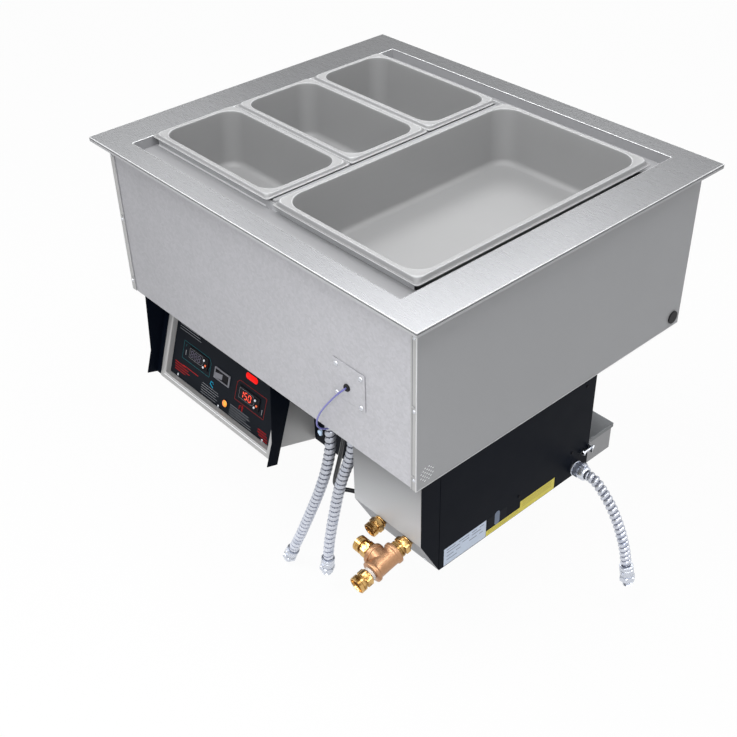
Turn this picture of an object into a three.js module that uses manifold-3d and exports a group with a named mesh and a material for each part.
// Drop-in hot and cold food well, in millimetres, +Z up.
// Origin: centre of the counter cut-out, on the counter surface that the hemmed flange rests on.
// The control side faces -Y and +X runs to the right along it.

import * as THREE from 'three';
import { mergeVertices } from 'three/addons/utils/BufferGeometryUtils.js';
import Module from 'manifold-3d';

const wasm = await Module();
wasm.setup();

// General fits
const seam = 0.3;
const overrun = 2;
const sheet = 1.2;
const roundSides = 20;

// Top flange: its bands reach from the opening to the hemmed edge
const flangeSideBand = 74.5;
const flangeFrontBand = 41.5;
const flangeDrop = 8;
const flangeSheet = 1.5;
const flangeHem = 12;

// Recess that carries the pans
const ledgeDrop = 18;
const ledgeInset = 48.5;
const panSeat = 10.5;
const panSideRoom = 8;
const ledgeRootShare = 0.6;
const rimStandsProud = 6;
const lipStart = 6;
const lipStop = 23;
const lipSkirtRoom = 9;

// Casing under the flange
const casingSideInset = 23;
const casingFrontInset = 22.5;
const casingFloor = 300;
const casingReturn = 12;
const rivetRadius = 2.4;
const rivetHeight = 1.2;
const rivetInset = 6;
const rivetShares = [0.1, 0.485, 0.91];

// Round cluster of staggered vent holes low on the right panel
const ventRadius = 1.8;
const ventStep = 4.1;
const ventReach = 3;
const ventSpread = 4;
const ventFromFront = 23;
const ventFromFloor = 23;

// Plug low on the right panel, near the back
const plugRadius = 12;
const plugStem = 10;
const plugStemLength = 6;
const plugProud = 2.5;
const plugFromBack = 20;
const plugFromFloor = 20;

// Tank, insulation and cooling coil
const tankDepth = 160;
const tankCorner = 6;
const tankBottomGap = 50;
const jacketRoom = 4;
const coilRadius = 4.75;
const coilTurns = 4;
const coilPitch = 26;
const coilTop = 50;
const coilBendSteps = 3;
const coilLead = 18;
const coilSides = 8;

// Heating element on the tank floor
const elementRadius = 5.5;
const elementLift = 16;
const elementEndGap = 60;
const elementReach = 250;
const elementSpread = 70;
const elementNutRadius = 12;
const elementNutLength = 10;

// Drain
const drainFromSide = 40;
const drainY = 0;
const drainBore = 12.5;
const drainPipeRadius = 16.5;
const drainFlangeRadius = 27;
const drainFlangeHeight = 3;
const drainBelowFloor = 28;
const screenRadius = 24;
const screenHeight = 10;
const screenWall = 1.5;
const screenKnobRadius = 4;
const screenKnobHeight = 9;
const screenHoleRadius = 2.2;
const screenHoles = 6;
const screenHoleCircle = 13;

// Pans: rim sizes are outer sizes
const fullPanWidth = 324;
const fullPanLength = 527;
const fullPanSkirt = 11;
const thirdPanWidth = 320;
const thirdPanSkirt = 8;
const thirdPanCount = 3;
const thirdPanGap = 0.8;
const panSideGap = 0.5;
const panColumnGap = 11.5;
const panDepth = 100;
const panSheet = 1;
const panRim = 13;
const fullPanRimCorner = 11;
const fullPanBodyCorner = 38;
const thirdPanRimCorner = 6;
const thirdPanBodyCorner = 31;
const panBead = 2;
const panTaper = 12;
const panFloorCorner = 14;
const panFloorCornerShare = 0.7;
const panCornerSteps = 4;

// Bars that carry the pans between the ledges
const barHeight = 12;
const dividerOverlap = 3;
const adapterWidth = 12;

// Access plate on the front with its capillary tube
const accessWidth = 73;
const accessHeight = 69;
const accessFromRight = 108.5;
const accessTop = 146;
const accessScrewInset = 9;
const accessScrewRadius = 4;
const accessScrewHeight = 1.6;
const accessSheet = 1.2;
const grommetRadius = 9;
const grommetHole = 5;
const grommetDepth = 3;
const grommetAcrossShare = 0.46;
const grommetDropShare = 0.6;
const grommetNeck = 4.14;
const capillaryRadius = 1.5;
const capillaryRoute = [
  [234.8, -327.8, -188.6], [230, -331, -194.5], [221.5, -333, -205], [208.5, -334.2, -222.5],
  [194, -335, -243], [183.5, -335, -260], [176, -334.5, -275], [171.8, -333, -286], [169, -329.5, -298],
  [169.3, -324, -305.5], [171, -317, -309.5], [173.2, -311, -309.8], [175, -307, -306], [175.3, -306, -301],
];
const capillarySteps = 44;

// Control box, tilted back under the front edge
const controlTilt = THREE.MathUtils.degToRad(17.5);
const controlFromLeft = 227.5;
const controlFootProud = 2;
const controlFootDrop = 173;
const controlWidth = 344;
const controlHeight = 176;
const controlFlange = 13;
const controlRecess = 12;
const controlDepth = 113;
const panelSheet = 1.5;
const wingGap = 15.5;
const wingReach = 19;
const wingNose = 49;
const wingTab = 20;
const wingTopGap = 0.8;

// Temperature controllers, their buttons, rocker and pilot lamp, measured on the panel
const controllerWidth = 62;
const controllerHeight = 27;
const controllerProud = 2.2;
const controllerBodyWidth = 56;
const controllerBodyHeight = 24.4;
const controllerBodyDepth = 40;
const coldX = -79;
const coldRise = 78;
const hotX = 78;
const hotRise = 74;
const controllerPlaces = [
  { name: 'cold', x: coldX, rise: coldRise },
  { name: 'hot', x: hotX, rise: hotRise },
];
const buttonRadius = 2.3;
const buttonClear = 0.3;
const buttonProud = 1.6;
const buttonTravel = 0.8;
const buttonStem = 3.5;
const buttonShares = [
  { name: 'set', x: 0.79, rise: -0.22 },
  { name: 'up', x: 0.6, rise: 0.41 },
  { name: 'down', x: 0.6, rise: -0.65 },
];
const rockerX = -4.5;
const rockerRise = 76.5;
const rockerBezelWidth = 47;
const rockerBezelHeight = 23;
const rockerBezelProud = 2;
const rockerBodyWidth = 42;
const rockerBodyHeight = 20;
const rockerBodyDepth = 24;
const rockerWidth = 34;
const rockerHeight = 15;
const rockerClear = 1.1;
const rockerPeak = 4.5;
const rockerRoot = 6;
const rockerPivotDepth = 4;
const rockerSideGap = 0.3;
const rockerRest = THREE.MathUtils.degToRad(8);
const lampX = 15;
const lampRise = 31;
const lampRadius = 6.8;
const lampProud = 3;
const lampShoulderShare = 0.7;
const lampCrownShare = 0.9;
const lampStemRadius = 5;
const lampStemLength = 22;
const terminalWidth = 110;
const terminalHeight = 26;
const terminalDepth = 18;
const terminalWays = 8;
const terminalGroove = 2;
const terminalRise = 60;

// Hanger plate between the control box and the heater box
const hangerSetback = 94.5;
const hangerShort = 14;
const hangerReturn = 24;

// Heater box under the right side
const heaterWidth = 156.5;
const heaterDepth = 408.3;
const heaterHeight = 209;
const heaterSideInset = 3.5;
const heaterSetback = 16;
const heaterChin = 78;
const heaterSlope = 39.7;
const heaterSeamFromFront = 38.5;
const heaterGrooveWidth = 1.2;
const heaterGrooveDepth = 0.7;
const coverSheet = 1.5;

// Water fittings on the sloping face of the heater box
const fittingDip = THREE.MathUtils.degToRad(12);
const inletFromRight = 35;
const inletBelowBreak = 11;
const outletFromRight = 94;
const outletBelowBreak = 8;
const stubRadius = 9;
const stubOut = 7;
const stubIn = 34;
const valveDepth = 52;
const valveHeight = 44;
const valveMargin = 17;
const nutHex = 15;
const nutHexLength = 11;
const nutRing = 13.6;
const nutRingLength = 10.7;
const inletNutHex = 15.5;
const inletNutRing = 14.6;
const teeStart = 29;
const teeRun = 52;
const teeBranch = 26;
const teeBarrel = 16.4;
const teeCollar = 19;
const teeCollarLength = 7;
const endNipple = 10.5;
const endNippleLength = 6;
const endNutHex = 15.5;
const endNutHexLength = 13;
const endNutRing = 15.7;
const endNutRingLength = 13;
const branchNippleLength = 4;
const branchNutHexLength = 13;
const branchNutRing = 14.6;
const branchNutRingLength = 15;
const nutBore = 8;
const nutBoreDepth = 9;

// Junction box behind the heater box
const junctionWidth = 100;
const junctionInset = 2;
const junctionDepth = 66;
const junctionAboveFoot = 60;
const junctionHeight = 57;
const junctionLidLip = 9;
const junctionLidProud = 2;
const junctionBoltRadius = 2.6;
const junctionBoltHead = 4.6;
const junctionBoltHeadLength = 3;
const junctionBoltReach = 22;
const junctionBoltDrop = 8;
const junctionEarReach = 9;
const junctionEarHeight = 14;

// Flexible conduits and their fittings
const frontConduitRadius = 10;
const rearConduitRadius = 10;
const conduitWall = 2.2;
const ribDepth = 1.5;
const frontRibPitch = 9.6;
const rearRibPitch = 9.6;
const boreRingEvery = 5;
const frontClampRadius = 13.2;
const frontClampLength = 18;
const clampPlateMargin = 16;
const clampPlateSheet = 2;
const rearClampRadius = 14.2;
const rearClampFlange = 2.5;
const rearClampLength = 26;
const rearClampStem = 9.5;
const rearClampStemLength = 8;
const endFittingRadius = 12.5;
const endFittingHex = 14.5;
const endFittingHexLength = 9;
const endFittingLength = 24;
const endFittingThread = 9;
const endFittingThreadLength = 10;
const leftConduitRoute = [
  [145, -285, -321], [145, -285, -341], [145, -285.4, -358], [143.8, -286, -378], [140.6, -286.5, -400],
  [135, -287, -424], [127.5, -287.5, -451], [117.8, -288, -480], [106.8, -288.4, -510],
  [94.8, -288.8, -540], [82, -289.2, -571], [67.8, -289.6, -605], [52, -290, -642], [35.5, -290.4, -679],
  [20, -290.8, -712],
];
const rightConduitRoute = [
  [201, -285, -321], [201, -285, -341], [196.5, -285.3, -364], [188.5, -285.8, -388],
  [180, -286.2, -411], [171.7, -286.6, -434.6], [164, -287, -460], [157.5, -287.3, -485],
  [151.5, -287.6, -510], [145.6, -287.8, -535.5], [139.8, -288, -561], [134.5, -288.2, -587],
  [129.4, -288.4, -613], [125.3, -288.5, -639], [122.5, -288.5, -659],
];
const rearConduitRoute = [
  [406.6, 72, -494], [417, 72, -494], [427, 72, -497], [436.5, 72, -503], [446, 72.1, -511.5],
  [456, 72.4, -521.5], [465.5, 72.8, -533], [474.5, 73.2, -547], [483.5, 73.7, -562.5], [491, 74.2, -579],
  [497.5, 74.6, -595], [502.8, 75, -611], [507, 75, -627], [510.3, 75, -641],
];
const conduitTurn = new THREE.Vector3(0, 1, 0);

// Black cable from the casing floor to the heater box
const cableRadius = 4;
const cableRoute = [
  [168, -272, -300.6], [168, -272, -316], [165.5, -271.5, -338], [161, -271, -364], [153.5, -270.5, -392],
  [145.5, -270, -420], [137.5, -269.5, -447], [131, -269, -470], [128.5, -268, -486], [131, -264.5, -494.5],
  [138, -260, -498], [149, -253, -498], [168, -244, -496.5], [191, -234, -494.5], [210, -229, -492.6],
  [223.2, -228.5, -492],
];
const cableSteps = 56;
const cableHoleClear = 0.6;

// Heights and half sizes that several pieces share
const flangeTop = flangeDrop;
const ledgeTop = flangeTop - ledgeDrop;
const ledgeUnder = ledgeTop - flangeSheet;
const rimTop = flangeTop + rimStandsProud;
const thirdPanLength = (fullPanLength - (thirdPanCount - 1) * thirdPanGap) / thirdPanCount;
const openingX = (panSideGap + thirdPanWidth + panColumnGap + fullPanWidth + panSideRoom) / 2;
const ledgeY = fullPanLength / 2 - panSeat;
const openingY = ledgeY + ledgeInset;
const flangeX = openingX + flangeSideBand;
const flangeY = openingY + flangeFrontBand;
const casingX = flangeX - casingSideInset;
const casingY = flangeY - casingFrontInset;
const casingTop = flangeTop - flangeSheet - seam;
const wallTop = flangeTop - flangeSheet;
const tankTop = ledgeUnder - seam;
const tankInnerFloor = tankTop - tankDepth;
const tankX = openingX;
const tankY = ledgeY;
const drainX = drainFromSide - tankX;
const underCasing = -casingFloor - seam;
const frontFace = -(casingY - sheet - seam);
const frontInside = frontFace + sheet;
const accessX = casingX - accessFromRight - accessWidth;

// Places of what hangs under the casing
const controlCentreX = controlFromLeft - casingX;
const controlFootY = -casingY - controlFootProud;
const controlFootZ = -casingFloor - controlFootDrop;
const heaterRight = casingX - heaterSideInset;
const heaterLeft = heaterRight - heaterWidth;
const heaterFront = heaterSetback - casingY;
const heaterBack = heaterFront + heaterDepth;
const heaterBottom = casingFloor + heaterHeight;
const heaterBreak = heaterBottom - heaterChin;
const hangerY = heaterFront + hangerSetback;
const hangerBottom = heaterBottom - hangerShort;
const inletX = heaterRight - inletFromRight;
const inletZ = -heaterBreak - inletBelowBreak;
const outletX = heaterRight - outletFromRight;
const outletZ = -heaterBreak - outletBelowBreak;
const junctionRight = heaterRight - junctionInset;
const junctionTop = heaterBottom - junctionAboveFoot;

const steel = { color: 0xc4c6c8, metalness: 0.9, roughness: 0.34 };
const brushed = { color: 0xb9bbbe, metalness: 0.85, roughness: 0.4 };
const galvanised = { color: 0xb4b7bb, metalness: 0.7, roughness: 0.5 };
const greyPanel = { color: 0x97999d, metalness: 0.55, roughness: 0.5 };
const blackPaint = { color: 0x12161c, metalness: 0.2, roughness: 0.45 };
const brass = { color: 0xc08a2e, metalness: 0.9, roughness: 0.3 };
const bronze = { color: 0xb07a4a, metalness: 0.8, roughness: 0.4 };
const zinc = { color: 0xc6ccd4, metalness: 0.85, roughness: 0.32 };
const copper = { color: 0xb8683c, metalness: 0.9, roughness: 0.35 };
const foam = { color: 0xd9cf9c, metalness: 0, roughness: 0.95 };
const blackPlastic = { color: 0x17181b, metalness: 0, roughness: 0.5 };
const greyPlastic = { color: 0x6d6f76, metalness: 0, roughness: 0.5 };
const whitePlastic = { color: 0xe6e8ee, metalness: 0, roughness: 0.4 };
const orangePlastic = { color: 0xe8642a, metalness: 0, roughness: 0.35 };
const amberLens = { color: 0xf08a1c, metalness: 0, roughness: 0.2 };
const rubber = { color: 0x0e0f11, metalness: 0, roughness: 0.8 };
const violetSleeve = { color: 0x6a6ca8, metalness: 0, roughness: 0.5 };

const model = new THREE.Group();
const controlGroup = new THREE.Group();
controlGroup.position.set(controlCentreX, controlFootY, controlFootZ);
controlGroup.rotation.x = -controlTilt;
model.add(controlGroup);

function part(name, geometry, finish, parent = model) {
  const mesh = new THREE.Mesh(geometry, new THREE.MeshStandardMaterial(finish));
  mesh.name = name;
  parent.add(mesh);
  return mesh;
}

function box(x0, x1, y0, y1, z0, z1) {
  const geometry = new THREE.BoxGeometry(x1 - x0, y1 - y0, z1 - z0);
  return geometry.translate((x0 + x1) / 2, (y0 + y1) / 2, (z0 + z1) / 2);
}

// Cylinder or prism from one point to another
function rod(radius, from, to, sides = roundSides) {
  const start = new THREE.Vector3(...from);
  const way = new THREE.Vector3(...to).sub(start);
  const geometry = new THREE.CylinderGeometry(radius, radius, way.length(), sides);
  const upright = new THREE.Vector3(0, 1, 0);
  const turn = new THREE.Quaternion().setFromUnitVectors(upright, way.clone().normalize());
  geometry.applyQuaternion(turn);
  return geometry.translate(...start.addScaledVector(way, 0.5).toArray());
}

// Outline in Y and Z, drawn out along X
function sidePlate(points, x0, x1) {
  const outline = new THREE.Shape(points.map(([y, z]) => new THREE.Vector2(y, z)));
  const geometry = new THREE.ExtrudeGeometry(outline, { depth: x1 - x0, bevelEnabled: false });
  const axes = new THREE.Matrix4().makeBasis(
    new THREE.Vector3(0, 1, 0), new THREE.Vector3(0, 0, 1), new THREE.Vector3(1, 0, 0));
  return geometry.applyMatrix4(axes).translate(x0, 0, 0);
}

function tube(route, radius, sides, steps) {
  const section = new THREE.Shape();
  section.absarc(0, 0, radius, 0, Math.PI * 2, true);
  const flat = new THREE.Shape(section.getPoints(sides).slice(0, sides));
  return new THREE.ExtrudeGeometry(flat, { extrudePath: smooth(route), steps });
}

function smooth(route) {
  return new THREE.CatmullRomCurve3(route.map((p) => new THREE.Vector3(...p)), false, 'centripetal');
}

function solid(geometry) {
  const bare = geometry.clone();
  bare.deleteAttribute('normal');
  bare.deleteAttribute('uv');
  const merged = mergeVertices(bare);
  return new wasm.Manifold(new wasm.Mesh({
    numProp: 3,
    vertProperties: new Float32Array(merged.attributes.position.array),
    triVerts: new Uint32Array(merged.index.array),
  }));
}

function surface(manifold) {
  const mesh = manifold.getMesh();
  const geometry = new THREE.BufferGeometry();
  const corners = new Float32Array(mesh.vertProperties);
  geometry.setAttribute('position', new THREE.BufferAttribute(corners, mesh.numProp));
  geometry.setIndex(new THREE.BufferAttribute(new Uint32Array(mesh.triVerts), 1));
  geometry.computeVertexNormals();
  return geometry;
}

function join(...pieces) {
  return surface(pieces.map(solid).reduce((whole, piece) => whole.add(piece)));
}

function cut(base, ...tools) {
  return surface(tools.map(solid).reduce((whole, tool) => whole.subtract(tool), solid(base)));
}

// Closed skin through rings of equal count: capped at both ends, or looped from the last ring to the first
function skin(rings, looped = false) {
  const count = rings[0].length;
  const top = (rings.length - 1) * count;
  const index = [];
  for (let ring = 0; ring < rings.length - (looped ? 0 : 1); ring += 1) {
    const here = ring * count;
    const next = (ring + 1) % rings.length * count;
    for (let step = 0; step < count; step += 1) {
      const after = (step + 1) % count;
      index.push(here + step, here + after, next + step, here + after, next + after, next + step);
    }
  }
  for (let step = 1; !looped && step + 1 < count; step += 1) {
    index.push(0, step + 1, step, top, top + step, top + step + 1);
  }
  const geometry = new THREE.BufferGeometry();
  geometry.setAttribute('position', new THREE.Float32BufferAttribute(rings.flat(2), 3));
  geometry.setIndex(index);
  geometry.computeVertexNormals();
  return geometry;
}

// Level rounded rectangles, from the lowest outside ring round to the last one
function loft(rings, cornerSteps) {
  return skin(rings.map(({ x, y, corner, z }) => {
    const points = [];
    for (let side = 0; side < 4; side += 1) {
      const cx = (side === 0 || side === 3 ? 1 : -1) * (x - corner);
      const cy = (side < 2 ? 1 : -1) * (y - corner);
      for (let step = 0; step <= cornerSteps; step += 1) {
        const angle = (side + step / cornerSteps) * Math.PI / 2;
        points.push([cx + corner * Math.cos(angle), cy + corner * Math.sin(angle), z]);
      }
    }
    return points;
  }));
}

function ringAt(centre, way, size, upright) {
  const across = new THREE.Vector3().crossVectors(upright, way).normalize();
  const up = new THREE.Vector3().crossVectors(way, across);
  const points = [];
  for (let side = 0; side < coilSides; side += 1) {
    const angle = side / coilSides * Math.PI * 2;
    const point = centre.clone().addScaledVector(across, size * Math.cos(angle));
    points.push(point.addScaledVector(up, size * Math.sin(angle)).toArray());
  }
  return points;
}

// Tube with a ring at every point of the route, for level runs with tight bends
function bentTube(route, radius) {
  const upright = new THREE.Vector3(0, 0, 1);
  const points = route.map((p) => new THREE.Vector3(...p));
  return skin(points.map((point, i) => {
    const before = points[Math.max(i - 1, 0)];
    const after = points[Math.min(i + 1, points.length - 1)];
    return ringAt(point, after.clone().sub(before).normalize(), radius, upright);
  }));
}

function buildTopFlange() {
  const ring = (x, y, z) => [[x, y, z], [-x, y, z], [-x, -y, z], [x, -y, z]];
  const outer = (inset, z) => ring(flangeX - inset, flangeY - inset, z);
  const inner = (grow, z) => ring(openingX + grow, openingY + grow, z);
  const wallFoot = ledgeTop - flangeSheet / 2;
  const pieces = [skin([
    outer(flangeHem, 0), outer(0, 0), outer(0, flangeTop), inner(0, flangeTop), inner(0, wallFoot),
    inner(flangeSheet, wallFoot), inner(flangeSheet, wallTop), outer(flangeSheet, wallTop),
    outer(flangeSheet, flangeSheet), outer(flangeHem, flangeSheet),
  ], true)];
  const lipTop = rimTop - panSheet - seam;
  const root = openingY + flangeSheet * ledgeRootShare;
  const end = openingX + flangeSheet * ledgeRootShare;
  const ledge = sidePlate([
    [ledgeY, ledgeUnder], [root, ledgeUnder], [root, ledgeTop], [ledgeY + flangeSheet, ledgeTop],
    [ledgeY + flangeSheet, lipTop], [ledgeY, lipTop],
  ], -end, end);
  const gaps = [
    [-end - overrun, -openingX + lipStart], [-panColumnGap - lipSkirtRoom, lipSkirtRoom],
    [openingX - lipStop, end + overrun],
  ].map((run) => box(...run, ledgeY - overrun, ledgeY + 2 * overrun, ledgeTop + seam, lipTop + overrun));
  const back = cut(ledge, ...gaps);
  const front = back.clone().scale(1, -1, 1);
  front.setIndex([...front.index.array].reverse());
  part('top_flange', join(...pieces, back, front), steel);
}

function buildTank() {
  const ring = (grow, z) => ({ x: tankX + grow, y: tankY + grow, corner: tankCorner + grow, z });
  const shell = loft([ring(sheet, tankTop), ring(sheet, tankInnerFloor - sheet)].reverse(), panCornerSteps);
  const hollow = loft([ring(0, tankTop + overrun), ring(0, tankInnerFloor)].reverse(), panCornerSteps);
  const hole = rod(drainPipeRadius + seam, [drainX, drainY, tankInnerFloor - 2 * overrun],
    [drainX, drainY, tankInnerFloor + overrun]);
  part('well_tank', cut(shell, hollow, hole), brushed);
}

function buildInsulation() {
  const gap = coilRadius * 2 + seam * 2;
  const foot = tankInnerFloor - sheet - seam;
  const outerX = casingX - sheet - seam;
  const outerY = -frontInside - jacketRoom;
  const hollowX = tankX + sheet + gap;
  const hollowY = tankY + sheet + gap;
  const hollow = box(-hollowX, hollowX, -hollowY, hollowY, foot, tankTop + overrun);
  const jacket = box(-outerX, outerX, -outerY, outerY, foot - tankBottomGap, ledgeUnder - seam);
  const hole = rod(drainPipeRadius + seam, [drainX, drainY, foot - tankBottomGap - overrun],
    [drainX, drainY, foot + overrun]);
  part('insulation_jacket', cut(jacket, hollow, hole), foam);
}

// The cooling tube winds down round the tank, starting and ending behind it
function buildCoil() {
  const bend = tankCorner + sheet + seam + coilRadius;
  const x = tankX + sheet + seam + coilRadius - bend;
  const y = tankY + sheet + seam + coilRadius - bend;
  const centres = [[-x, y], [-x, -y], [x, -y], [x, y]];
  const turns = coilTurns * centres.length;
  const route = [[-coilLead, y + bend, -coilTop]];
  for (let corner = 0; corner < turns; corner += 1) {
    const [cx, cy] = centres[corner % centres.length];
    for (let step = 0; step <= coilBendSteps; step += 1) {
      const angle = (corner + 1 + step / coilBendSteps) * Math.PI / 2;
      const z = -coilTop - coilPitch * (corner + 0.5) / centres.length;
      route.push([cx + bend * Math.cos(angle), cy + bend * Math.sin(angle), z]);
    }
  }
  route.push([coilLead, y + bend, -coilTop - coilPitch * coilTurns]);
  part('cooling_coil', bentTube(route, coilRadius), copper);
}

function buildElement() {
  const z = tankInnerFloor + elementLift;
  const end = tankX - seam;
  const outer = elementSpread * 1.5;
  const inner = elementSpread / 2;
  const near = end - elementEndGap;
  const route = [];
  const bend = (x, y0, y1, side) => {
    const middle = (y0 + y1) / 2;
    const reach = Math.abs(y1 - y0) / 2;
    [-60, -30, 0, 30, 60].forEach((degrees) => {
      const angle = THREE.MathUtils.degToRad(degrees);
      const sweep = y1 > y0 ? 1 : -1;
      route.push([x + side * reach * Math.cos(angle), middle + sweep * reach * Math.sin(angle), z]);
    });
  };
  route.push([end, outer, z], [near, outer, z], [-elementReach, outer, z]);
  bend(-elementReach, outer, inner, -1);
  route.push([-elementReach, inner, z], [near - elementEndGap, inner, z]);
  bend(near - elementEndGap, inner, -inner, 1);
  route.push([near - elementEndGap, -inner, z], [-elementReach, -inner, z]);
  bend(-elementReach, -inner, -outer, -1);
  route.push([-elementReach, -outer, z], [near, -outer, z], [end, -outer, z]);
  const nutStart = end - elementNutLength;
  const nuts = [outer, -outer].map((y) => rod(elementNutRadius, [nutStart, y, z], [end, y, z], 6));
  part('heating_element', join(bentTube(route, elementRadius), ...nuts), zinc);
}

function buildDrain() {
  const seat = tankInnerFloor + seam;
  const flange = rod(drainFlangeRadius, [drainX, drainY, seat], [drainX, drainY, seat + drainFlangeHeight]);
  const low = -casingFloor - drainBelowFloor;
  const pipe = rod(drainPipeRadius, [drainX, drainY, low], [drainX, drainY, seat + overrun / 2]);
  const boreTop = seat + drainFlangeHeight + overrun;
  const bore = rod(drainBore, [drainX, drainY, low - overrun], [drainX, drainY, boreTop]);
  part('drain_fitting', cut(join(flange, pipe), bore), brass);

  const rest = seat + drainFlangeHeight + seam;
  const cup = rod(screenRadius, [0, 0, 0], [0, 0, screenHeight]);
  const pocket = rod(screenRadius - screenWall, [0, 0, -overrun], [0, 0, screenHeight - screenWall]);
  const holes = [];
  for (let i = 0; i < screenHoles; i += 1) {
    const angle = i / screenHoles * Math.PI * 2;
    const x = screenHoleCircle * Math.cos(angle);
    const y = screenHoleCircle * Math.sin(angle);
    holes.push(rod(screenHoleRadius, [x, y, screenHeight / 2], [x, y, screenHeight + overrun], 8));
  }
  const knobTop = screenHeight + screenKnobHeight;
  const knob = rod(screenKnobRadius, [0, 0, screenHeight - screenWall / 2], [0, 0, knobTop], 12);
  const screen = join(cut(cup, pocket, ...holes), knob);
  part('drain_screen', screen.translate(drainX, drainY, rest), steel);
}

function casingSide(name, side, cuts) {
  const wall = casingX - sheet;
  const turned = casingX - casingReturn;
  const corners = [[casingX, -casingY], [casingX, casingY], [turned, casingY], [turned, casingY - sheet],
    [wall, casingY - sheet], [wall, -casingY + sheet], [turned, -casingY + sheet], [turned, -casingY]];
  const outline = new THREE.Shape(corners.map(([x, y]) => new THREE.Vector2(x, y)));
  const height = casingTop + casingFloor;
  const body = new THREE.ExtrudeGeometry(outline, { depth: height, bevelEnabled: false });
  body.translate(0, 0, -casingFloor);
  const rivets = [];
  [-1, 1].forEach((end) => {
    rivetShares.forEach((share) => {
      const x = casingX - rivetInset;
      const z = casingTop - share * height;
      const root = end * (casingY - sheet / 2);
      rivets.push(rod(rivetRadius, [x, root, z], [x, end * (casingY + rivetHeight), z], 8));
    });
  });
  const whole = join(body, ...rivets);
  const panel = cuts.length ? cut(whole, ...cuts) : whole;
  part(name, side < 0 ? panel.rotateZ(Math.PI) : panel, greyPanel);
}

function buildCasing() {
  const vents = [];
  for (let row = -ventReach; row <= ventReach; row += 1) {
    for (let column = -ventReach; column <= ventReach; column += 1) {
      const y = -casingY + ventFromFront + column * ventStep;
      const z = -casingFloor + ventFromFloor + row * ventStep;
      if ((row + column) % 2 === 0 && Math.abs(row) + Math.abs(column) <= ventSpread) {
        vents.push(rod(ventRadius, [casingX - sheet - overrun, y, z], [casingX + overrun, y, z], 8));
      }
    }
  }
  const plugY = casingY - plugFromBack;
  const plugZ = -casingFloor + plugFromFloor;
  const plugIn = casingX - sheet - overrun;
  vents.push(rod(plugStem + seam, [plugIn, plugY, plugZ], [casingX + overrun, plugY, plugZ]));
  casingSide('casing_right', 1, vents);
  casingSide('casing_left', -1, []);
  part('side_plug', join(
    rod(plugRadius, [casingX + seam, plugY, plugZ], [casingX + plugProud, plugY, plugZ]),
    rod(plugStem, [casingX - plugStemLength, plugY, plugZ], [casingX + plugProud / 2, plugY, plugZ]),
  ), rubber);

  const inset = casingX - sheet - seam;
  const hole = grommetHoleAt();
  const front = box(-inset, inset, frontFace, frontInside, -casingFloor, casingTop);
  part('casing_front', cut(front, rod(grommetNeck + seam,
    [hole.x, frontFace - overrun, hole.z], [hole.x, frontInside + overrun, hole.z])), galvanised);
  part('casing_back', box(-inset, inset, -frontInside, -frontFace, -casingFloor, casingTop), galvanised);

  const floorY = -frontInside - seam;
  const floor = box(-inset, inset, -floorY, floorY, -casingFloor, -casingFloor + sheet);
  const [capX, capY] = capillaryRoute.at(-1);
  const above = -casingFloor + sheet + overrun;
  const drill = (radius, x, y) => rod(radius, [x, y, -casingFloor - overrun], [x, y, above]);
  part('casing_floor', cut(floor, drill(drainPipeRadius + seam, drainX, drainY),
    drill(capillaryRadius + seam, capX, capY)), galvanised);
}

function grommetHoleAt() {
  return {
    x: accessX + accessWidth * grommetAcrossShare,
    z: -accessTop - accessHeight * grommetDropShare,
  };
}

function buildAccessPlate() {
  const x0 = accessX;
  const x1 = accessX + accessWidth;
  const outer = frontFace - seam;
  const plateFace = outer - accessSheet;
  const bottom = -accessTop - accessHeight;
  const plate = box(x0, x1, plateFace, outer, bottom, -accessTop);
  const screws = [];
  [x0 + accessScrewInset, x1 - accessScrewInset].forEach((x) => {
    [bottom + accessScrewInset, -accessTop - accessScrewInset].forEach((z) => {
      const head = [x, plateFace - accessScrewHeight, z];
      screws.push(rod(accessScrewRadius, head, [x, outer - accessSheet / 2, z], 12));
    });
  });
  const hole = grommetHoleAt();
  const through = [hole.x, outer + overrun, hole.z];
  const opening = rod(grommetNeck + seam, [hole.x, plateFace - overrun, hole.z], through);
  part('access_plate', cut(join(plate, ...screws), opening), greyPanel);

  const face = plateFace - seam;
  part('capillary_grommet', cut(join(
    rod(grommetRadius / 2 + overrun, [hole.x, face - grommetDepth, hole.z], [hole.x, face, hole.z]),
    rod(grommetNeck, [hole.x, face - grommetDepth / 2, hole.z], [hole.x, frontInside + overrun, hole.z]),
  ), rod(capillaryRadius + seam, [hole.x, face - 2 * grommetDepth, hole.z],
    [hole.x, frontInside + 2 * overrun, hole.z], 12)), rubber);
  const start = [[hole.x, frontInside, hole.z], [hole.x, face - grommetDepth, hole.z]];
  const capillary = tube([...start, ...capillaryRoute], capillaryRadius, coilSides, capillarySteps);
  part('capillary_tube', capillary, violetSleeve);
}

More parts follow.
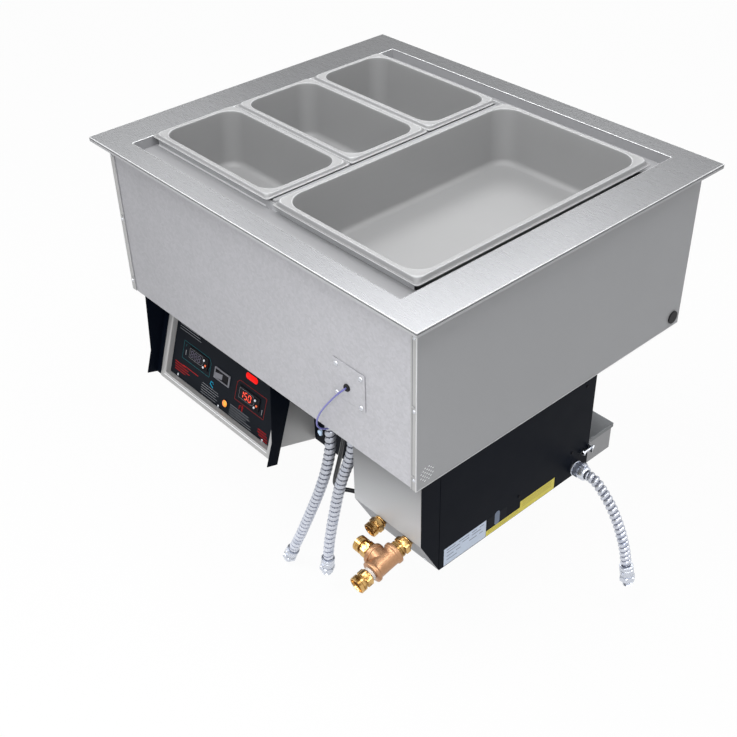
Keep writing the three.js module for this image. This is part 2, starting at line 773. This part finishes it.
function panGeometry(width, length, skirt, rimCorner, bodyCorner) {
  const x = width / 2;
  const y = length / 2;
  const ring = (inset, corner, z) => ({ x: x - inset, y: y - inset, corner, z });
  const rimInner = panRim;
  const depthLow = panDepth - panFloorCorner;
  const wallShare = depthLow / panDepth;
  const low = rimInner + panTaper * wallShare;
  const floorInset = rimInner + panTaper + panFloorCorner * panFloorCornerShare;
  return loft([
    ring(floorInset + panSheet, bodyCorner - panFloorCorner, -panDepth),
    ring(low, bodyCorner, -depthLow),
    ring(rimInner, bodyCorner, -panRim / 2),
    ring(rimInner - panBead, bodyCorner, -panSheet),
    ring(panSheet, rimCorner - panSheet, -panSheet),
    ring(panSheet, rimCorner - panSheet, -skirt),
    ring(0, rimCorner, -skirt),
    ring(0, rimCorner, -panSheet),
    ring(panSheet, rimCorner - panSheet, 0),
    ring(rimInner - panBead, bodyCorner, 0),
    ring(rimInner + panSheet, bodyCorner, -panRim / 2),
    ring(low + panSheet, bodyCorner, -depthLow),
    ring(floorInset + panSheet, bodyCorner - panFloorCorner, -panDepth + panSheet),
  ], panCornerSteps);
}

function buildPans() {
  const fullX = fullPanWidth / 2;
  const full = panGeometry(fullPanWidth, fullPanLength, fullPanSkirt, fullPanRimCorner, fullPanBodyCorner);
  part('full_pan', full, steel).position.set(fullX, 0, rimTop);
  const pitch = thirdPanLength + thirdPanGap;
  const middle = (thirdPanCount - 1) / 2;
  const names = ['front', 'middle', 'back'];
  const thirdX = -openingX + panSideGap + thirdPanWidth / 2;
  names.forEach((place, i) => {
    const third = panGeometry(
      thirdPanWidth, thirdPanLength, thirdPanSkirt, thirdPanRimCorner, thirdPanBodyCorner);
    part(`third_pan_${place}`, third, steel).position.set(thirdX, (i - middle) * pitch, rimTop);
  });

  const left = -panColumnGap - dividerOverlap;
  const dividerTop = rimTop - fullPanSkirt - seam;
  const barEnd = ledgeY - seam;
  part('divider_bar', box(left, dividerOverlap, -barEnd, barEnd, dividerTop - barHeight, dividerTop), steel);
  const barTop = rimTop - thirdPanSkirt - seam;
  [-1, 1].forEach((side) => {
    const y = side * pitch / 2;
    const half = adapterWidth / 2;
    const bar = box(-openingX + seam, left - seam, y - half, y + half, barTop - barHeight, barTop);
    part(side < 0 ? 'adapter_bar_front' : 'adapter_bar_back', bar, steel);
  });
}

function buildControlBox() {
  const x = controlWidth / 2;
  const openX = x - controlFlange;
  const openTop = controlHeight - controlFlange;
  const flange = box(-x, x, 0, sheet, 0, controlHeight);
  const walls = box(-openX - sheet, openX + sheet, 0, controlDepth, controlFlange - sheet, openTop + sheet);
  const hollow = box(-openX, openX, -overrun, controlDepth - sheet, controlFlange, openTop);
  part('control_box', cut(join(flange, walls), hollow), greyPanel, controlGroup);

  const face = controlRecess;
  const back = controlRecess + panelSheet;
  const holes = controllerPlaces.map((place) => box(
    place.x - controllerBodyWidth / 2 - seam, place.x + controllerBodyWidth / 2 + seam,
    face - overrun, back + overrun,
    place.rise - controllerBodyHeight / 2 - seam, place.rise + controllerBodyHeight / 2 + seam));
  holes.push(box(rockerX - rockerBodyWidth / 2 - seam, rockerX + rockerBodyWidth / 2 + seam, face - overrun,
    back + overrun, rockerRise - rockerBodyHeight / 2 - seam, rockerRise + rockerBodyHeight / 2 + seam));
  const lampOut = [lampX, face - overrun, lampRise];
  holes.push(rod(lampStemRadius + seam, lampOut, [lampX, back + overrun, lampRise]));
  const panel = box(-openX + seam, openX - seam, face, back, controlFlange + seam, openTop - seam);
  part('control_panel', cut(panel, ...holes), blackPaint, controlGroup);

  const ways = [];
  const blockBack = controlDepth - sheet - seam;
  for (let i = 1; i < terminalWays; i += 1) {
    const at = -terminalWidth / 2 + terminalWidth * i / terminalWays;
    ways.push(box(at - terminalGroove / 2, at + terminalGroove / 2, blockBack - terminalDepth - overrun,
      blockBack - terminalDepth / 2, terminalRise - overrun, terminalRise + terminalHeight + overrun));
  }
  part('terminal_block', cut(box(-terminalWidth / 2, terminalWidth / 2, blockBack - terminalDepth, blockBack,
    terminalRise, terminalRise + terminalHeight), ...ways), whitePlastic, controlGroup);
}

function buildController(place) {
  const front = controlRecess - seam;
  const half = controllerWidth / 2;
  const bezel = box(place.x - half, place.x + half, front - controllerProud, front,
    place.rise - controllerHeight / 2, place.rise + controllerHeight / 2);
  const bodyHalf = controllerBodyWidth / 2;
  const bodyRise = controllerBodyHeight / 2;
  const body = box(place.x - bodyHalf, place.x + bodyHalf, front - controllerProud / 2,
    front + controllerBodyDepth, place.rise - bodyRise, place.rise + bodyRise);
  const sockets = [];
  buttonShares.forEach((button) => {
    const x = place.x + button.x * half;
    const z = place.rise + button.rise * controllerHeight / 2;
    const outer = front - controllerProud;
    const inner = outer + buttonStem + buttonTravel + seam;
    sockets.push(rod(buttonRadius + buttonClear, [x, outer - overrun, z], [x, inner, z], 16));
    const cap = rod(buttonRadius, [x, outer - buttonProud, z], [x, outer + buttonStem, z], 16);
    const finish = button.name === 'set' ? orangePlastic : whitePlastic;
    part(`${place.name}_button_${button.name}`, cap, finish, controlGroup);
  });
  part(`${place.name}_controller`, cut(join(bezel, body), ...sockets), blackPlastic, controlGroup);
}

function buildRocker() {
  const front = controlRecess - seam;
  const centre = [rockerX, front + rockerPivotDepth - rockerBezelProud, rockerRise];
  const around = (width, height, near, far) => box(rockerX - width / 2, rockerX + width / 2, near, far,
    rockerRise - height / 2, rockerRise + height / 2);
  const bezel = around(rockerBezelWidth, rockerBezelHeight, front - rockerBezelProud, front);
  const body = around(rockerBodyWidth, rockerBodyHeight,
    front - rockerBezelProud / 2, front + rockerBodyDepth);
  const pocketX = rockerWidth / 2 + rockerClear;
  const pocketZ = rockerHeight / 2 + rockerSideGap;
  const pocket = box(rockerX - pocketX, rockerX + pocketX, front - rockerBezelProud - overrun,
    front + rockerPivotDepth + rockerRoot + rockerClear * 2, rockerRise - pocketZ, rockerRise + pocketZ);
  part('rocker_housing', cut(join(bezel, body), pocket), greyPlastic, controlGroup);

  const half = rockerWidth / 2;
  const outline = new THREE.Shape([
    [-half, -rockerPeak], [0, -rockerPeak / 2], [half, -rockerPeak], [half, 0],
    [rockerRoot, rockerRoot], [-rockerRoot, rockerRoot], [-half, 0],
  ].map(([a, b]) => new THREE.Vector2(a, b)));
  const rocker = new THREE.ExtrudeGeometry(outline, { depth: rockerHeight, bevelEnabled: false });
  rocker.translate(0, 0, -rockerHeight / 2).rotateZ(rockerRest);
  part('power_rocker', rocker, greyPlastic, controlGroup).position.set(...centre);
}

function buildLamp() {
  const front = controlRecess - seam;
  const profile = [
    [0, -lampStemLength], [lampStemRadius, -lampStemLength], [lampStemRadius, 0], [lampRadius, 0],
    [lampRadius, lampProud / 2], [lampRadius * lampShoulderShare, lampProud * lampCrownShare], [0, lampProud],
  ];
  const lens = new THREE.LatheGeometry(profile.map(([r, z]) => new THREE.Vector2(r, z)), 16);
  lens.rotateX(Math.PI);
  part('pilot_lamp', lens, amberLens, controlGroup).position.set(lampX, front, lampRise);
}

// Each black wing is a side plate, a turned-in flange behind the box's own flange and a tab under the casing
function buildWing(name, side) {
  const sin = Math.sin(controlTilt);
  const cos = Math.cos(controlTilt);
  const world = (d, u) => [controlFootY + d * cos + u * sin, controlFootZ - d * sin + u * cos];
  const rise = (d, z) => (z - controlFootZ + d * sin) / cos;
  const backFace = sheet + seam + sheet;
  const top = underCasing;
  const plateBack = backFace + sheet;
  const plateTop = top - sheet / 2;
  const plate = sidePlate([
    world(-wingReach, 0), world(plateBack, 0), world(plateBack, rise(plateBack, plateTop)),
    [frontFace, plateTop], world(-wingReach, wingNose),
  ], 0, sheet);
  const returnTop = rise(backFace, top) - wingTopGap;
  const innerX = controlWidth / 2 - controlFlange + sheet + seam;
  const plateX = controlWidth / 2 + wingGap;
  const flange = box(innerX, plateX + sheet / 2, sheet + seam, backFace, sheet, returnTop);
  flange.rotateX(-controlTilt).translate(0, controlFootY, controlFootZ);
  const tabBack = world(backFace, rise(backFace, top))[0];
  const tab = box(plateX + sheet / 2, plateX + wingTab, frontFace + overrun, tabBack, top - sheet, top);
  const wing = join(plate.translate(plateX, 0, 0), flange, tab);
  if (side < 0) {
    wing.scale(-1, 1, 1);
    wing.setIndex([...wing.index.array].reverse());
  }
  part(name, wing, blackPaint).position.set(controlCentreX, 0, 0);
}

function buildHanger() {
  const x0 = controlCentreX + controlWidth / 2 - controlFlange + sheet + seam;
  const x1 = heaterLeft - seam;
  const low = -hangerBottom;
  const turned = hangerY + hangerReturn;
  const face = hangerY + sheet;
  part('hanger_plate', sidePlate([
    [hangerY, low], [turned, low], [turned, low + sheet], [face, low + sheet],
    [face, underCasing - sheet], [turned, underCasing - sheet], [turned, underCasing],
    [hangerY, underCasing],
  ], x0, x1), blackPaint);
}

const dipWay = new THREE.Vector3(0, -Math.cos(fittingDip), -Math.sin(fittingDip));

// Point of the sloping face at a height, and points along a fitting's axis from there
function slopePoint(x, z) {
  const share = (-heaterBreak - z) / (heaterBottom - heaterBreak);
  return new THREE.Vector3(x, heaterFront + heaterSlope * share, z);
}

function along(start, distance, way = dipWay) {
  return start.clone().addScaledVector(way, distance).toArray();
}

function buildHeaterBox() {
  const outline = (inset, top) => [
    [heaterFront + inset, top], [heaterFront + inset, -heaterBreak],
    [heaterFront + heaterSlope + inset, -heaterBottom + inset], [heaterBack - inset, -heaterBottom + inset],
    [heaterBack - inset, top],
  ];
  const inlet = slopePoint(inletX, inletZ);
  const outlet = slopePoint(outletX, outletZ);
  const pierce = (at) => rod(stubRadius + seam, along(at, -stubIn), along(at, stubIn));
  const pipeHoles = [inlet, outlet].map(pierce);
  const [, cableY, cableZ] = cableRoute.at(-1);
  const cableHole = rod(cableRadius + cableHoleClear, [heaterLeft - overrun, cableY, cableZ],
    [heaterLeft + sheet + overrun, cableY, cableZ], 12);
  const rearX = heaterRight - coverSheet - seam;
  const shell = sidePlate(outline(0, underCasing), heaterLeft, rearX);
  const hollow = sidePlate(outline(sheet, underCasing + overrun), heaterLeft + sheet, rearX + overrun);
  part('heater_box', cut(shell, hollow, ...pipeHoles, cableHole), greyPanel);

  const [, rearY, rearZ] = rearConduitRoute[0];
  const cover = sidePlate(outline(0, underCasing), heaterRight - coverSheet, heaterRight);
  const grooveY = heaterFront + heaterSeamFromFront;
  const groove = box(heaterRight - heaterGrooveDepth, heaterRight + overrun,
    grooveY, grooveY + heaterGrooveWidth, -heaterBottom - overrun, underCasing + overrun);
  const stemHole = rod(rearClampStem + seam, [heaterRight - coverSheet - overrun, rearY, rearZ],
    [heaterRight + overrun, rearY, rearZ]);
  part('heater_cover', cut(cover, groove, stemHole), blackPaint);

  const valve = box(outletX - valveMargin, inletX + valveMargin, 0, valveDepth,
    -valveHeight / 2, valveHeight / 2);
  valve.rotateX(fittingDip).translate(0, ...along(inlet, -stubIn).slice(1));
  const root = -stubIn - valveDepth / 2;
  const stubs = [inlet, outlet].map((at) => rod(stubRadius, along(at, root), along(at, stubOut)));
  part('fill_valve', join(valve, ...stubs), brass);
  buildFittings(inlet, outlet);
}

function nut(start, way, hex, hexLength, ring, ringLength, lead = 0, leadRadius = 0) {
  const at = (distance) => along(start, distance, way);
  const pieces = [
    rod(hex, at(lead), at(lead + hexLength), 6),
    rod(ring, at(lead + hexLength - overrun / 2), at(lead + hexLength + ringLength)),
  ];
  if (lead > 0) {
    pieces.push(rod(leadRadius, at(0), at(lead + hexLength / 2), 16));
  }
  const end = lead + hexLength + ringLength;
  return { body: join(...pieces), bore: rod(nutBore, at(end - nutBoreDepth), at(end + overrun), 16) };
}

function buildFittings(inlet, outlet) {
  const start = stubOut + seam;
  const outletStart = new THREE.Vector3(...along(outlet, start));
  const outletNut = nut(outletStart, dipWay, nutHex, nutHexLength, nutRing, nutRingLength);
  part('outlet_nut', cut(outletNut.body, outletNut.bore), brass);
  const inletStart = new THREE.Vector3(...along(inlet, start));
  const inletRingLength = teeStart - start - nutHexLength - seam;
  const inletNut = nut(inletStart, dipWay, inletNutHex, nutHexLength, inletNutRing, inletRingLength);
  part('tee_nut_inlet', inletNut.body, brass);

  const teeEnd = teeStart + teeRun;
  const centre = new THREE.Vector3(...along(inlet, teeStart + teeRun / 2));
  const branchWay = new THREE.Vector3(-1, 0, 0);
  part('bronze_tee', join(
    rod(teeBarrel, along(inlet, teeStart + overrun), along(inlet, teeEnd - overrun), 24),
    rod(teeCollar, along(inlet, teeStart), along(inlet, teeStart + teeCollarLength), 24),
    rod(teeCollar, along(inlet, teeEnd - teeCollarLength), along(inlet, teeEnd), 24),
    rod(teeBarrel, along(centre, 0, branchWay), along(centre, teeBranch - overrun, branchWay), 24),
    rod(teeCollar, along(centre, teeBranch - teeCollarLength, branchWay),
      along(centre, teeBranch, branchWay), 24),
  ), bronze);
  const endNut = nut(new THREE.Vector3(...along(inlet, teeEnd + seam)), dipWay, endNutHex, endNutHexLength,
    endNutRing, endNutRingLength, endNippleLength, endNipple);
  part('tee_nut_end', cut(endNut.body, endNut.bore), brass);
  const branchNut = nut(new THREE.Vector3(...along(centre, teeBranch + seam, branchWay)), branchWay, nutHex,
    branchNutHexLength, branchNutRing, branchNutRingLength, branchNippleLength, endNipple);
  part('tee_nut_branch', cut(branchNut.body, branchNut.bore), brass);
}

function buildJunctionBox() {
  const x0 = junctionRight - junctionWidth;
  const y0 = heaterBack + seam;
  const y1 = y0 + junctionDepth;
  const top = -junctionTop - sheet - seam;
  const bottom = -junctionTop - junctionHeight;
  const lidX = junctionRight + junctionLidProud;
  const ear = [lidX - junctionLidProud - overrun, lidX + junctionEarReach];
  const boltX = lidX + junctionEarReach / 2;
  const boltZ = -junctionTop - junctionLidLip - junctionBoltDrop;
  const boltEnd = y0 + sheet - junctionBoltReach;
  const box0 = box(x0, junctionRight, y0, y1, bottom, top);
  const body = join(
    box0,
    box(...ear, y0, y0 + sheet, boltZ - junctionEarHeight / 2, boltZ + junctionEarHeight / 2),
    rod(junctionBoltRadius, [boltX, boltEnd, boltZ], [boltX, y0 + junctionEarReach, boltZ], 10),
    rod(junctionBoltHead, [boltX, boltEnd, boltZ], [boltX, boltEnd + junctionBoltHeadLength, boltZ], 6),
  );
  const hollow = box(x0 + sheet, junctionRight - sheet, y0 + sheet, y1 - sheet,
    bottom + sheet, top + overrun);
  part('junction_box', cut(body, hollow), brushed);

  const lidTop = -junctionTop;
  const lid = box(x0 - junctionLidProud, lidX, y0, y1 + junctionLidProud, lidTop - junctionLidLip, lidTop);
  const inside = box(x0 - seam, junctionRight + seam, y0 - overrun, y1 + seam,
    lidTop - junctionLidLip - overrun,
    lidTop - sheet);
  part('junction_lid', cut(lid, inside), brushed);
}

// Ribbed hose with its bore: two outer rings a rib, and a bore ring at every few ribs
function ribbedHose(route, radius, pitch) {
  const curve = smooth(route);
  const length = curve.getLength();
  const plain = radius * 2;
  const ribs = Math.floor((length - 2 * plain) / pitch);
  const ribPitch = (length - 2 * plain) / ribs;
  const outer = [[0, radius - ribDepth], [plain - ribPitch / 4, radius - ribDepth]];
  for (let rib = 0; rib < ribs; rib += 1) {
    const at = plain + rib * ribPitch;
    outer.push([at + ribPitch / 2, radius], [at + ribPitch, radius - ribDepth]);
  }
  outer.push([length, radius - ribDepth]);
  const bore = [];
  for (let rib = 0; rib <= ribs; rib += boreRingEvery) {
    bore.push([plain + rib * ribPitch, radius - conduitWall - ribDepth]);
  }
  const inner = [[0, bore[0][1]], ...bore, [length, bore[0][1]]];
  return skin([...outer, ...inner.reverse()].map(([distance, size]) => {
    const share = Math.min(distance / length, 1);
    return ringAt(curve.getPointAt(share), curve.getTangentAt(share), size, conduitTurn);
  }), true);
}

// Connector at a hanging end: a sleeve, a hexagon and a threaded nose in line with the last stretch
function endFitting(name, route) {
  const last = new THREE.Vector3(...route.at(-1));
  const way = last.clone().sub(new THREE.Vector3(...route.at(-2))).normalize();
  const at = (distance) => along(last, distance + seam, way);
  const end = endFittingLength + endFittingHexLength + endFittingThreadLength;
  const body = join(
    rod(endFittingRadius, at(0), at(endFittingLength), 16),
    rod(endFittingHex, at(endFittingLength - overrun), at(endFittingLength + endFittingHexLength), 6),
    rod(endFittingThread, at(endFittingLength), at(end), 16),
  );
  const bore = rod(endFittingThread - 2 * sheet, at(endFittingLength), at(end + overrun), 12);
  part(name, cut(body, bore), zinc);
}

function buildConduits() {
  const [leftX, frontY, clampEnd] = leftConduitRoute[0];
  const [rightX] = rightConduitRoute[0];
  const plateTop = underCasing;
  const plate = box(leftX - clampPlateMargin, rightX + clampPlateMargin, frontY - clampPlateMargin,
    frontY + clampPlateMargin, plateTop - clampPlateSheet, plateTop);
  const [cableX, cableY] = cableRoute[0];
  const sleeves = [leftX, rightX].map((x) => rod(frontClampRadius,
    [x, frontY, clampEnd + seam], [x, frontY, plateTop - clampPlateSheet / 2]));
  const notch = rod(cableRadius + 2 * cableHoleClear, [cableX, cableY, plateTop - clampPlateSheet - overrun],
    [cableX, cableY, plateTop + overrun], 12);
  part('conduit_clamp', cut(join(plate, ...sleeves), notch), zinc);
  part('conduit_left', ribbedHose(leftConduitRoute, frontConduitRadius, frontRibPitch), zinc);
  part('conduit_right', ribbedHose(rightConduitRoute, frontConduitRadius, frontRibPitch), zinc);
  endFitting('conduit_left_end', leftConduitRoute);
  endFitting('conduit_right_end', rightConduitRoute);

  const [rearStart, rearY, rearZ] = rearConduitRoute[0];
  const face = heaterRight + seam;
  const inFlange = [face + rearClampFlange / 2, rearY, rearZ];
  part('rear_clamp', join(
    rod(rearClampRadius, [face, rearY, rearZ], [face + rearClampFlange, rearY, rearZ]),
    rod(rearClampRadius - overrun / 2, inFlange, [rearStart - seam, rearY, rearZ]),
    rod(rearClampStem, [face - rearClampStemLength, rearY, rearZ], inFlange),
  ), zinc);
  part('conduit_rear', ribbedHose(rearConduitRoute, rearConduitRadius, rearRibPitch), zinc);
  endFitting('conduit_rear_end', rearConduitRoute);
  part('black_cable', tube(cableRoute, cableRadius, coilSides, cableSteps), rubber);
}

buildTopFlange();
buildTank();
buildInsulation();
buildCoil();
buildElement();
buildDrain();
buildCasing();
buildAccessPlate();
buildPans();
buildControlBox();
controllerPlaces.forEach(buildController);
buildRocker();
buildLamp();
buildWing('control_wing_left', -1);
buildWing('control_wing_right', 1);
buildHanger();
buildHeaterBox();
buildJunctionBox();
buildConduits();

export default model;
